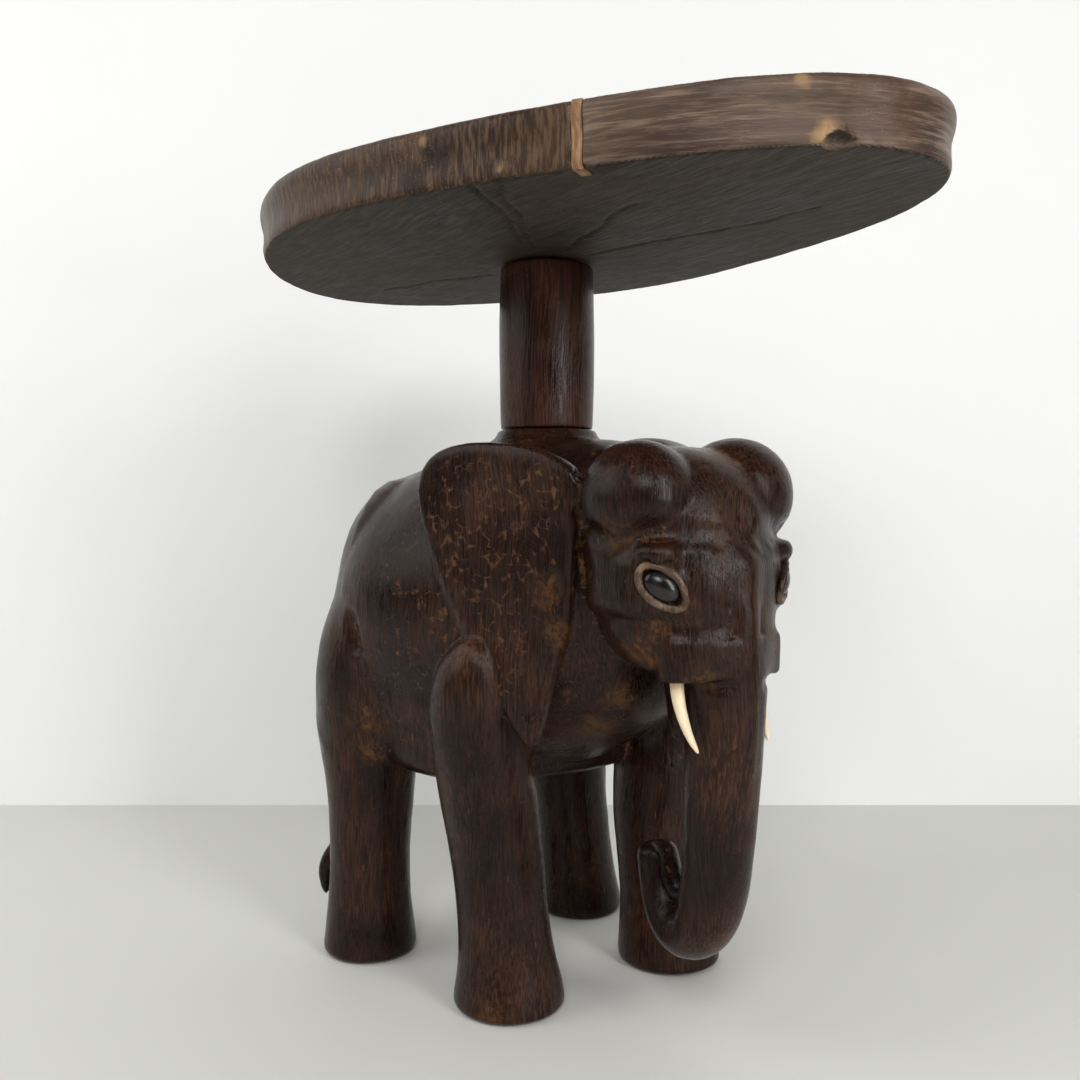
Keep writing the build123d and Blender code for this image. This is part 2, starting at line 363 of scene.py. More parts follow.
def buildKeel():
    # the soft ridge down the face and the trunk: forward, height, half width
    rows = [(161, 268, 8), (165, 258, 9), (167.5, 240, 9), (168.2, 222, 10), (168.3, 200, 11),
            (168.2, 182, 10), (167.4, 160, 9), (165, 138, 8), (161, 118, 7)]
    return ringTube("keel", 16, [(at(x, 0, z), 9, wide, 0) for x, z, wide in rows])


def buildUnderside():
    # closes the belly between the legs
    outline = [(40, 12), (34, 40), (24, 60), (8, 80), (-22, 89), (-60, 90), (-86, 72), (-96, 34)]
    return levelPlate("underside", outline, 121, 168, 13)


earSize = {
    "front": (108, 56), "back": (-5, 100), "thickness": 11.0, "rounding": 3.2,
    # how far back from the head, height above the floor
    "outline": [(-4, 296), (16, 309), (35, 314.7), (48, 316), (68, 317), (86, 315), (98, 310), (106, 301),
                (108.5, 289), (104, 271), (95, 247), (83, 226), (70, 201), (57, 183), (43, 165.5), (34, 155),
                (29, 154), (22.5, 173), (18, 189), (12.5, 205), (7, 220), (4, 245), (4, 270)],
}


def buildEar():
    # the right ear: a flat outline with a rounded edge, stood up along the flank
    frontX, frontY = earSize["front"]
    backX, backY = earSize["back"]
    turn = math.atan2(-(backY - frontY), backX - frontX)
    ear = plate("ear_right", earSize["outline"], earSize["thickness"], earSize["rounding"])
    inwards = Vector((-math.sin(turn), math.cos(turn), 0)) * earSize["thickness"] / 2 * mm
    if inwards.y < 0:
        inwards = -inwards
    ear.rotation_euler = (math.radians(90), 0, turn)
    ear.location = at(frontX, -frontY, 0) + inwards
    settle(ear)
    return ear


def onEar(back, up):
    # a place on the outer face of the right ear
    frontX, frontY = earSize["front"]
    backX, backY = earSize["back"]
    share = back / math.hypot(backX - frontX, backY - frontY)
    return at(frontX + (backX - frontX) * share, -frontY - (backY - frontY) * share, up)


def buildTail():
    path = [(-126, -5, 236, 6.5), (-134, -12, 214, 6.2), (-136, -28, 186, 5.6), (-131, -46, 156, 5.2),
            (-121, -64, 124, 5), (-108, -74, 96, 4.4), (-102, -84, 76, 4.2), (-104, -95, 60, 5.2),
            (-107, -100, 48, 7), (-108, -101.5, 37, 5), (-108.5, -101.5, 25.5, 1.4)]
    rings = [(at(x, y, z), size, size * 1.15, 0) for x, y, z, size in path]
    return ringTube("tail", 12, rings)


def buildBoss():
    # the low hollow flare carved under the post
    rows = [(54, 300), (52, 308), (44, 315), (37, 319.5), (32.5, 323), (30.6, 326), (30.2, 328)]
    return ringTube("boss", 40, [(at(0, 0, z), size, size, 0) for size, z in rows])


def buildBrows():
    pieces = [ball("dome_right", at(127, -31.5, 286), (32, 28.5, 30)),
              ball("dome_left", at(129, 32.5, 288), (33, 29.5, 30.5)),
              ball("nape", at(96, 0, 299), (36, 30, 20)),
              ball("haunch_right", at(-74, -48, 234), (46, 56, 69)),
              ball("haunch_left", at(-74, 48, 234), (46, 56, 69))]
    for side, name in ((-1, "right"), (1, "left")):
        pieces.append(ball("brow_" + name, at(149, side * 37.5, 258.5), (13, 13, 9), (0, -6, side * 35)))
        pieces.append(ball("orbit_" + name, at(142, side * 33, 245), (21, 18, 20)))
        pieces.append(ball("cheek_" + name, at(130, side * 28, 222), (29, 20, 17)))
    return pieces


def eyePlace(long, short, out):
    # millimetres along and across the right eye's slit, and out from the face
    return eyeAxes @ Vector((long * mm, short * mm, out * mm))


eyeOut = Vector((0.74, -0.66, -0.06)).normalized()
eyeFront = Vector((0.66, 0.74, 0)).normalized()
eyeUp = eyeOut.cross(eyeFront)
eyeUp = eyeUp if eyeUp.z > 0 else -eyeUp
eyeTilt = math.radians(33)
eyeLong = eyeFront * math.cos(eyeTilt) - eyeUp * math.sin(eyeTilt)
eyeShort = eyeOut.cross(eyeLong)
eyeAxes = Matrix.Translation(at(157, -42, 243.5)) @ Matrix((eyeLong, eyeShort, eyeOut)).transposed().to_4x4()


def buildCarving():
    masses = [buildTorso(), buildBelly(), buildSkull(), buildTrunk(), buildJaw(), buildTail(), buildBoss(),
              buildKeel()]
    masses += [buildLeg("fore_leg_right", foreLegSize, -1), buildLeg("fore_leg_left", foreLegSize, 1)]
    masses += [buildLeg("hind_leg_right", hindLegSize, -1), buildLeg("hind_leg_left", hindLegSize, 1)]
    for mass in masses:
        if mass.name != "boss":
            useModifier(mass, "SUBSURF", levels=2, render_levels=2)
    masses += buildBrows()
    ear = buildEar()
    masses += [buildCollar(), buildFacePlane(), buildUnderside(), ear, mirrorCopy(ear, "ear_left")]
    carving = joinPieces(masses, "elephant")
    carving.data.remesh_voxel_size = 1.75 * mm
    pick(carving)
    bpy.ops.object.voxel_remesh()
    useModifier(carving, "SMOOTH", factor=0.6, iterations=7)
    return carving


def carveDetails(carving):
    middle = Matrix.Translation(at(0, 0, 0))
    flip = middle @ Matrix.Scale(-1, 4, Vector((0, 1, 0))) @ middle.inverted()
    eyelidFold = [eyePlace(-15, 5, 0), eyePlace(-7, 10.5, 0), eyePlace(5, 11.5, 0), eyePlace(15, 6, 0)]
    thighCrease = [at(-51, -109, 214), at(-46, -108, 188), at(-43, -104, 160), at(-43, -98, 136)]
    rightLines = [
        # line, reach, softness, depth
        ([eyePlace(-7, 0, 0), eyePlace(7, 0, 0)], 4.5, 4.5, 4.5),
        (eyelidFold, 1.2, 3.6, 1.6),
        ([onEar(13, 246), onEar(14.5, 222), onEar(20, 200), onEar(28, 172)], 1.0, 3.2, 1.5),
        (thighCrease, 2.0, 8, 3.4),
        ([at(106, -50, 300), at(108, -53, 276), at(110, -53, 250), at(108, -54, 226)], 1.6, 6, 3.0),
        ([at(176, -6, 266), at(150, -44, 271), at(118, -55, 268)], 2.5, 8, 2.2),
        ([at(173, -12, 195), at(164, -22, 195), at(150, -26, 195)], 1.5, 5, 1.6),
    ]
    for path, reach, soften, depth in rightLines:
        press(carving, path, reach, soften, depth)
        press(carving, [flip @ point for point in path], reach, soften, depth)
    press(carving, [at(108, 0, 106), at(113, 0, 92), at(119, 0, 80)], 2.2, 5, 3.2, (1, 0, 0.4))
    press(carving, [at(140, 0, 306), at(158, 0, 290), at(168, 0, 272)], 3.0, 12, 3.0)
    print("details carved")


def softenZone(piece, path, reach, repeat, facing=None):
    # melts the join between two masses
    chooseVerts(piece, nearLine(piece, path, reach, facing))
    bpy.ops.mesh.vertices_smooth(factor=0.6, repeat=repeat)
    objectMode()


def unevenSurface(piece, name, grain, strength):
    # the hand-cut surface is never quite even
    texture = bpy.data.textures.new(name, "CLOUDS")
    texture.noise_scale = grain * mm
    useModifier(piece, "DISPLACE", texture=texture, texture_coords="LOCAL", strength=strength * mm,
                mid_level=0.5)


def thinTo(piece, limit):
    # fewer triangles where there are more than the limit
    triangles = sum(len(face.vertices) - 2 for face in piece.data.polygons)
    if triangles > limit:
        useModifier(piece, "DECIMATE", ratio=limit / triangles)


def fitInside(piece, low, high):
    # draws a piece in until it lies inside the box
    corners = [Vector(corner) for corner in piece.bound_box]
    least = [min(corner[axis] for corner in corners) for axis in range(3)]
    most = [max(corner[axis] for corner in corners) for axis in range(3)]
    middle = [(low[axis] + high[axis]) / 2 for axis in range(3)]
    reach = [max(most[axis] - middle[axis], middle[axis] - least[axis]) for axis in range(3)]
    share = [min(1, (high[axis] - low[axis]) / 2 / reach[axis]) for axis in range(3)]
    editAll(piece)
    bpy.ops.transform.resize(value=share, center_override=middle)
    objectMode()


def flatSoles(piece):
    # cuts the soles off level and stands them on the floor
    cut = Vector((0, 0, 0.25 * mm))
    editAll(piece)
    bpy.ops.mesh.bisect(plane_co=cut, plane_no=(0, 0, 1), use_fill=True, clear_inner=True)
    bpy.ops.mesh.select_all(action="SELECT")
    bpy.ops.transform.translate(value=-cut)
    objectMode()


def hollowShade(piece):
    # a colour attribute that is dark in the hollows and light on the ridges
    piece.data.color_attributes.new("hollows", "FLOAT_COLOR", "POINT")
    pick(piece)
    bpy.ops.object.mode_set(mode="VERTEX_PAINT")
    bpy.ops.paint.vertex_color_dirt(blur_strength=1, blur_iterations=4, dirt_angle=math.radians(20),
                                    clean_angle=math.radians(160))
    objectMode()
    # evened out, so that a tenth of the surface lies below 0.1
    colours = numpy.empty(len(piece.data.vertices) * 4)
    piece.data.color_attributes["hollows"].data.foreach_get("color", colours)
    colours = colours.reshape(-1, 4)
    ranks = numpy.empty(len(colours))
    ranks[numpy.argsort(colours[:, 0], kind="stable")] = numpy.linspace(0, 1, len(colours))
    colours[:, :3] = ranks[:, None]
    piece.data.color_attributes["hollows"].data.foreach_set("color", colours.ravel())


def finishPiece(piece, node, material):
    pick(piece)
    bpy.ops.object.shade_smooth()
    piece.data.materials.clear()
    piece.data.materials.append(material)
    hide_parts(node)
    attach(piece, "root")


carving = buildCarving()
for side in (-1, 1):
    haunch = [at(-100, side * 80, 262), at(-96, side * 100, 220), at(-80, side * 108, 180),
              at(-60, side * 106, 160)]
    rump = [at(-104, side * 20, 290), at(-70, side * 45, 305), at(-40, side * 40, 318)]
    collarTop = [at(172, side * 14, 223), at(164, side * 30, 222.5), at(153, side * 42, 221)]
    flank = [at(-20, side * 92, 150), at(10, side * 84, 150), at(34, side * 60, 150)]
    softenZone(carving, haunch, 34, 160)
    softenZone(carving, rump, 26, 160)
    softenZone(carving, collarTop, 4.5, 16)
    softenZone(carving, flank, 16, 60)
chest = [at(60, -40, 140), at(72, 0, 140), at(60, 40, 140)]
softenZone(carving, chest, 22, 100)
carveDetails(carving)
unevenSurface(carving, "handCut", 26, 1.1)
thinTo(carving, 190000)
flatSoles(carving)
hollowShade(carving)
print("carving", len(carving.data.polygons))


def buildEyes():
    bpy.ops.curve.primitive_bezier_circle_add(radius=mm)
    lid = bpy.context.object
    lid.name = "eyelid_right"
    curve = lid.data
    curve.splines.clear()
    edge = curve.splines.new("NURBS")
    almond = [(-14.5, 1.5), (-10.5, 6.4), (-1, 8.9), (8, 7), (17, -2.5), (9, -7.2), (-1, -8.6), (-9.5, -6)]
    edge.points.add(len(almond) - 1)
    for point, (along, across) in zip(edge.points, almond):
        point.co = (along * mm, across * mm, (0.3 - 0.011 * along * along) * mm, 1)
    edge.use_cyclic_u = True
    edge.order_u = 4
    edge.resolution_u = 10
    curve.dimensions = "3D"
    curve.bevel_depth = 1.9 * mm
    curve.bevel_resolution = 4
    bpy.ops.object.convert(target="MESH")
    lid = bpy.context.object
    lid.matrix_world = eyeAxes
    settle(lid)
    unevenSurface(lid, "lidCuts", 2.2, 1.0)
    bead = ball("eye_bead_right", Vector((0, 0, 0)), (9.6, 6.6, 4.2))
    bead.matrix_world = eyeAxes @ Matrix.Translation((0, 0, -1.4 * mm))
    settle(bead)
    return lid, bead


lidRight, beadRight = buildEyes()
lidLeft = mirrorCopy(lidRight, "eyelid_left")
beadLeft = mirrorCopy(beadRight, "eye_bead_left")


def buildPost():
    low = postLow.z / mm
    high = postHigh.z / mm
    tall = high - low
    rows = [(0, 27.2), (0.006, 28.1), (0.02, 28.4), (0.12, 28.7), (0.35, 29.2), (0.65, 29.2), (0.9, 28.6),
            (0.97, 28.3), (1, 28)]
    rings = [(at(0, 0, low + tall * share), size, size, 0) for share, size in rows]
    post = ringTube("post_turned", 72, rings)
    useModifier(post, "SUBSURF", levels=2, render_levels=2)
    unevenSurface(post, "postCuts", 34, 0.5)
    fitInside(post, postLow, postHigh)
    return post


post = buildPost()


def buildTusk():
    # forward, left, height and radius, from the root to the tip
    rows = [(151.5, -27.4, 201, 3.4), (151.8, -27.5, 196, 3.5), (152.6, -27.6, 190, 3.4),
            (154.2, -27.3, 183, 3.2), (156.6, -26.6, 176, 2.8), (159.6, -25.6, 169.5, 2.2),
            (162.2, -24.6, 165, 1.5), (163.6, -24, 162.6, 0.7)]
    rings = [(at(x, y, z), size, size, 0) for x, y, z, size in rows]
    tusk = ringTube("tusk_worked_right", 16, rings)
    useModifier(tusk, "SUBSURF", levels=2, render_levels=2)
    unevenSurface(tusk, "tuskCuts", 9, 0.3)
    return tusk


tuskRight = buildTusk()
tuskLeft = mirrorCopy(tuskRight, "tusk_worked_left")


def copyOfNode(node, name):
    # a free copy of a CAD piece, to be worked on
    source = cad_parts[node]
    piece = source.copy()
    piece.data = source.data.copy()
    piece.name = name
    for key in list(piece.keys()):
        del piece[key]
    piece.parent = None
    bpy.context.collection.objects.link(piece)
    settle(piece)
    editAll(piece)
    bpy.ops.mesh.remove_doubles(threshold=0.01 * mm)
    objectMode()
    return piece


def buildBoard():
    board = copyOfNode("top_board", "board")
    board.data.remesh_voxel_size = 1.7 * mm
    pick(board)
    bpy.ops.object.voxel_remesh()
    useModifier(board, "SMOOTH", factor=0.5, iterations=3)
    under = boardLow.z / mm
    cracks = [(34, -30, 130), (40, -12, 100), (36, 8, 150), (42, -44, 120), (-36, 14, 60), (-40, -16, 90)]
    for forward, left, length in cracks:
        way = Vector((forward, left, 0)).normalized()
        path = []
        for share in (0, 0.25, 0.5, 0.75, 1):
            drift = random.uniform(-4, 4)
            path.append(at(forward + way.x * length * share - way.y * drift,
                           left + way.y * length * share + way.x * drift, under))
        press(board, path, 0.9, 2.4, 1.0, (0, 0, -1))
    rim = (boardLow.z + boardHigh.z) / 2 / mm
    press(board, [at(98, -139, rim + 6), at(106, -134, rim + 2), at(112, -131, rim - 3)], 1.6, 5, 1.3)
    unevenSurface(board, "boardCuts", 16, 0.7)
    thinTo(board, 180000)
    fitInside(board, boardLow, boardHigh)
    return board


board = buildBoard()
print("pieces", len(board.data.polygons), len(post.data.polygons))

def feed(tree, socket, value):
    # another socket is linked, and a plain value is set
    if isinstance(value, bpy.types.NodeSocket):
        tree.links.new(value, socket)
    else:
        socket.default_value = value


def addNode(tree, kind, links=None, **settings):
    # links: socket name or place -> another socket, or a plain value
    node = tree.nodes.new(kind)
    for name, value in settings.items():
        setattr(node, name, value)
    for name, value in (links or {}).items():
        feed(tree, node.inputs[name], value)
    return node


def mathNode(tree, operation, *values):
    return addNode(tree, "ShaderNodeMath", dict(enumerate(values)), operation=operation).outputs[0]


def times(tree, first, second):
    return mathNode(tree, "MULTIPLY", first, second)


def noiseNode(tree, place, scale, detail=2.0, **more):
    links = {"Vector": place, "Scale": scale, "Detail": detail}
    links.update({name.title(): value for name, value in more.items()})
    return addNode(tree, "ShaderNodeTexNoise", links)


def spread(tree, value, low, high, start=0.0, end=1.0):
    # rises smoothly from start to end while the value goes from low to high
    links = {"Value": value, "From Min": low, "From Max": high, "To Min": start, "To Max": end}
    return addNode(tree, "ShaderNodeMapRange", links, interpolation_type="SMOOTHSTEP").outputs["Result"]


def blend(tree, share, first, second, kind="MIX"):
    node = addNode(tree, "ShaderNodeMix", {"Factor": share}, data_type="RGBA", blend_type=kind)
    for socket, value in ((node.inputs[6], first), (node.inputs[7], second)):
        plain = not isinstance(value, bpy.types.NodeSocket)
        feed(tree, socket, tuple(value) + (1,) if plain else value)
    return node.outputs[2]


def startGroup(name, inputs, outputs):
    tree = bpy.data.node_groups.new(name, "ShaderNodeTree")
    for label, kind, value in inputs:
        socket = tree.interface.new_socket(name=label, in_out="INPUT", socket_type="NodeSocket" + kind)
        socket.default_value = value
    for label in outputs:
        tree.interface.new_socket(name=label, in_out="OUTPUT", socket_type="NodeSocketFloat")
    return tree, tree.nodes.new("NodeGroupInput"), tree.nodes.new("NodeGroupOutput")


def buildGrainGroup():
    # wood grain: fine streaks, broad figure and short open pores, drawn out along one way
    inputs = [("Vector", "Vector", (0, 0, 0)), ("Along", "Vector", (260, 260, 16)), ("Swirl", "Float", 0.01),
              ("Swirl Scale", "Float", 12.0)]
    tree, given, made = startGroup("woodGrain", inputs, ["Streak", "Figure", "Pore"])
    warp = noiseNode(tree, given.outputs["Vector"], given.outputs["Swirl Scale"], 1.0)
    centred = addNode(tree, "ShaderNodeVectorMath", {0: warp.outputs["Color"], 1: (0.5, 0.5, 0.5)},
                      operation="SUBTRACT")
    moved = addNode(tree, "ShaderNodeVectorMath", {0: centred.outputs[0], "Scale": given.outputs["Swirl"]},
                    operation="SCALE")
    warped = addNode(tree, "ShaderNodeVectorMath", {0: given.outputs["Vector"], 1: moved.outputs[0]},
                     operation="ADD")
    drawn = addNode(tree, "ShaderNodeVectorMath", {0: warped.outputs[0], 1: given.outputs["Along"]},
                    operation="MULTIPLY").outputs[0]
    fine = noiseNode(tree, drawn, 1.0, 4.0, roughness=0.65)
    broad = noiseNode(tree, drawn, 0.2)
    pores = noiseNode(tree, drawn, 2.4, roughness=0.5)
    tree.links.new(spread(tree, fine.outputs[0], 0.42, 0.66), made.inputs["Streak"])
    tree.links.new(spread(tree, broad.outputs[0], 0.34, 0.66), made.inputs["Figure"])
    tree.links.new(spread(tree, pores.outputs[0], 0.6, 0.7), made.inputs["Pore"])
    return tree


def buildSpotGroup():
    # one round patch, used for worn places, rim marks and painted shade: full in its middle and ragged
    # towards its edge
    inputs = [("Vector", "Vector", (0, 0, 0)), ("Centre", "Vector", (0, 0, 0)), ("Radius", "Float", 0.02),
              ("Ragged", "Float", 0.5)]
    tree, given, made = startGroup("wearAndShadeSpot", inputs, ["Mask"])
    apart = addNode(tree, "ShaderNodeVectorMath", {0: given.outputs["Vector"], 1: given.outputs["Centre"]},
                    operation="DISTANCE").outputs["Value"]
    share = mathNode(tree, "DIVIDE", apart, given.outputs["Radius"])
    noise = noiseNode(tree, given.outputs["Vector"], 160.0, 3.0).outputs[0]
    ragged = times(tree, mathNode(tree, "SUBTRACT", noise, 0.5), given.outputs["Ragged"])
    tree.links.new(spread(tree, mathNode(tree, "ADD", share, ragged), 1.0, 0.25), made.inputs["Mask"])
    return tree


def buildScratchGroup():
    # thin short scratches and nicks that cross the grain
    inputs = [("Vector", "Vector", (0, 0, 0)), ("Amount", "Float", 0.5)]
    tree, given, made = startGroup("fineScratches", inputs, ["Scratch"])
    total = None
    for turn, scale in (((0.5, 0.2, 0.9), 1.0), ((1.2, 0.7, 0.1), 1.3), ((0.1, 1.1, 2.2), 0.8)):
        links = {"Vector": given.outputs["Vector"], "Rotation": turn}
        turned = addNode(tree, "ShaderNodeVectorRotate", links, rotation_type="EULER_XYZ").outputs[0]
        drawn = addNode(tree, "ShaderNodeVectorMath", {0: turned, 1: (900 * scale, 900 * scale, 60 * scale)},
                        operation="MULTIPLY").outputs[0]
        noise = noiseNode(tree, drawn, 1.0, 1.0).outputs[0]
        line = spread(tree, noise, 0.71, 0.76)
        total = line if total is None else mathNode(tree, "MAXIMUM", total, line)
    patches = noiseNode(tree, given.outputs["Vector"], 26.0).outputs[0]
    where = spread(tree, mathNode(tree, "ADD", patches, given.outputs["Amount"]), 0.92, 1.15)
    tree.links.new(times(tree, total, where), made.inputs["Scratch"])
    return tree


woodGrain = buildGrainGroup()
wearAndShadeSpot = buildSpotGroup()
fineScratches = buildScratchGroup()


def useGroup(tree, group, links):
    node = tree.nodes.new("ShaderNodeGroup")
    node.node_tree = group
    for name, value in links.items():
        feed(tree, node.inputs[name], value)
    return node


def grainNode(tree, place, along, swirl, swirlScale):
    links = {"Vector": place, "Along": along, "Swirl": swirl, "Swirl Scale": swirlScale}
    return useGroup(tree, woodGrain, links)


def startMaterial(name):
    material = bpy.data.materials.new(name)
    material.use_nodes = True
    tree = material.node_tree
    place = tree.nodes.new("ShaderNodeTexCoord").outputs["Object"]
    return material, tree, place, tree.nodes["Principled BSDF"]


def spots(tree, place, centres):
    # the strongest of several round patches, worn places, rim marks and painted shadow alike: (centre,
    # radius, strength)
    total = None
    for centre, radius, strength in centres:
        links = {"Vector": place, "Centre": at(*centre), "Radius": radius * mm, "Ragged": 1.1}
        mask = times(tree, useGroup(tree, wearAndShadeSpot, links).outputs["Mask"], strength)
        total = mask if total is None else mathNode(tree, "MAXIMUM", total, mask)
    return total


def bumpFrom(tree, height, distance, strength=1.0):
    return addNode(tree, "ShaderNodeBump", {"Height": height, "Distance": distance * mm,
                                            "Strength": strength}).outputs["Normal"]


carvedLook = {
    "deep": (0.0042, 0.0017, 0.0014), "dark": (0.0105, 0.0036, 0.0027), "warm": (0.024, 0.0085, 0.005),
    "streak": (0.062, 0.0245, 0.012), "worn": (0.185, 0.078, 0.023), "scratch": (0.3, 0.2, 0.12),
}

wornPlaces = [
    # centre, radius, strength
    ((140, 6, 302), 19, 0.75), ((128, 12, 308), 16, 0.5), ((152, 4, 286), 14, 0.55),
    ((160, -10, 262), 14, 0.35),  # between the domes and down the brow
    ((140, -40, 208), 14, 0.85), ((150, -36, 222), 10, 0.5),  # cheek
    ((76, -48, 148), 14, 0.95), ((70, -52, 160), 11, 0.6),  # armpit
    ((-46, -96, 130), 11, 0.6), ((-44, -100, 150), 8, 0.35),  # thigh crease
    ((104, -25, 180), 13, 0.6), ((86, -25, 160), 15, 0.6), ((62, 28, 140), 17, 0.7),
    ((84, 30, 164), 14, 0.55), ((100, 32, 186), 12, 0.45),  # chest crease
    ((48, -86, 205), 12, 0.45),  # shoulder
    ((90, -58, 238), 14, 0.5), ((96, -60, 216), 12, 0.45),  # neck
    ((166, -24, 196), 12, 0.4), ((160, 0, 60), 14, 0.3),  # under the collar and the trunk's bend
    ((-75, -110, 6), 13, 0.4), ((60, -75, 6), 13, 0.4), ((-40, 100, 8), 12, 0.4),  # soles
    ((90, 0, 316), 20, 0.35), ((30, -40, 322), 20, 0.3),  # back
    ((158, -26, 236), 9, 0.5), ((134, -50, 268), 14, 0.35), ((158, -14, 272), 15, 0.4),  # beside the eye
]


def carvedMaterial(name, along, places, look):
    material, tree, place, shader = startMaterial(name)
    grain = grainNode(tree, place, along, 0.016, 11.0)
    nicks = useGroup(tree, fineScratches, {"Vector": place, "Amount": 0.42})
    cloud = noiseNode(tree, place, 17.0).outputs[0]
    colour = blend(tree, spread(tree, cloud, 0.36, 0.66), look["dark"], look["warm"])
    colour = blend(tree, times(tree, grain.outputs["Figure"], 0.6), colour, look["deep"])
    lit = times(tree, grain.outputs["Streak"], spread(tree, cloud, 0.32, 0.68, 0.12, 0.9))
    colour = blend(tree, lit, colour, look["streak"])
    worn = None
    if places:
        hollows = addNode(tree, "ShaderNodeVertexColor", layer_name="hollows").outputs["Color"]
        spotted = spots(tree, place, places)
        fret = noiseNode(tree, place, 210.0, 5.0, roughness=0.75).outputs[0]
        crease = spread(tree, hollows, 0.13, 0.03)
        fretted = spread(tree, fret, 0.42, 0.62)
        rubbed = times(tree, spotted, spread(tree, fret, 0.4, 0.62, 0.12, 0.85))
        worn = mathNode(tree, "MAXIMUM", rubbed, times(tree, times(tree, crease, fretted), 0.5))
        colour = blend(tree, worn, colour, look["worn"])
        # painted shade: the deepest hollows are darkened towards the deep colour
        paintedHollowShade = spread(tree, hollows, 0.035, 0.008)
        colour = blend(tree, times(tree, paintedHollowShade, 0.7), colour, look["deep"])
    colour = blend(tree, times(tree, grain.outputs["Pore"], 0.55), colour, look["deep"])
    colour = blend(tree, times(tree, nicks.outputs["Scratch"], 0.1), colour, look["scratch"])
    tree.links.new(colour, shader.inputs["Base Color"])
    gloss = noiseNode(tree, place, 34.0, 3.0).outputs[0]
    rough = spread(tree, gloss, 0.3, 0.7, 0.18, 0.33)
    if worn:
        rough = mathNode(tree, "MINIMUM", mathNode(tree, "MULTIPLY_ADD", worn, 0.3, rough), 0.8)
    tree.links.new(rough, shader.inputs["Roughness"])
    raised = times(tree, grain.outputs["Streak"], 0.35)
    nicked = times(tree, nicks.outputs["Scratch"], 0.3)
    sunk = mathNode(tree, "MULTIPLY_ADD", grain.outputs["Pore"], 0.7, nicked)
    height = mathNode(tree, "SUBTRACT", raised, sunk)
    if worn:
        height = mathNode(tree, "MULTIPLY_ADD", times(tree, worn, fret), 1.4, height)
    tree.links.new(bumpFrom(tree, height, 0.16), shader.inputs["Normal"])
    shader.inputs["Specular IOR Level"].default_value = 0.2
    return material


postLook = {
    "deep": (0.007, 0.003, 0.0025), "dark": (0.017, 0.0055, 0.004), "warm": (0.05, 0.015, 0.009),
    "streak": (0.095, 0.036, 0.021), "scratch": (0.3, 0.2, 0.12),
}

lidLook = {
    "deep": (0.012, 0.007, 0.005), "dark": (0.03, 0.018, 0.012), "warm": (0.1, 0.058, 0.035),
    "streak": (0.24, 0.165, 0.11), "scratch": (0.45, 0.35, 0.25),
}

carvedWood = carvedMaterial("carvedWood", (850, 850, 52), wornPlaces, carvedLook)
postWood = carvedMaterial("postWood", (1100, 1100, 26), None, postLook)
lidWood = carvedMaterial("lidWood", (160, 160, 90), None, lidLook)
print("carved materials")


rimPlaces = [
    # the knot and its dark mend, bright chips and fibres, reddish stretches
    ([((104, -138, 446), 15, 0.95), ((90, -142, 436), 13, 0.85), ((66, -150, 440), 10, 0.5)],
     (0.012, 0.006, 0.004)),
    ([((110, -134, 449), 5, 0.8), ((92, -141, 437), 4, 0.8), ((134, -119, 434), 4.5, 0.95),
      ((96, -139, 452), 5, 0.6), ((246, -32, 434), 8, 0.8), ((240, -40, 455), 5, 0.5)], (0.4, 0.235, 0.11)),
    ([((254, -12, 446), 26, 0.55), ((-60, -160, 444), 40, 0.45)], (0.055, 0.02, 0.010)),
]


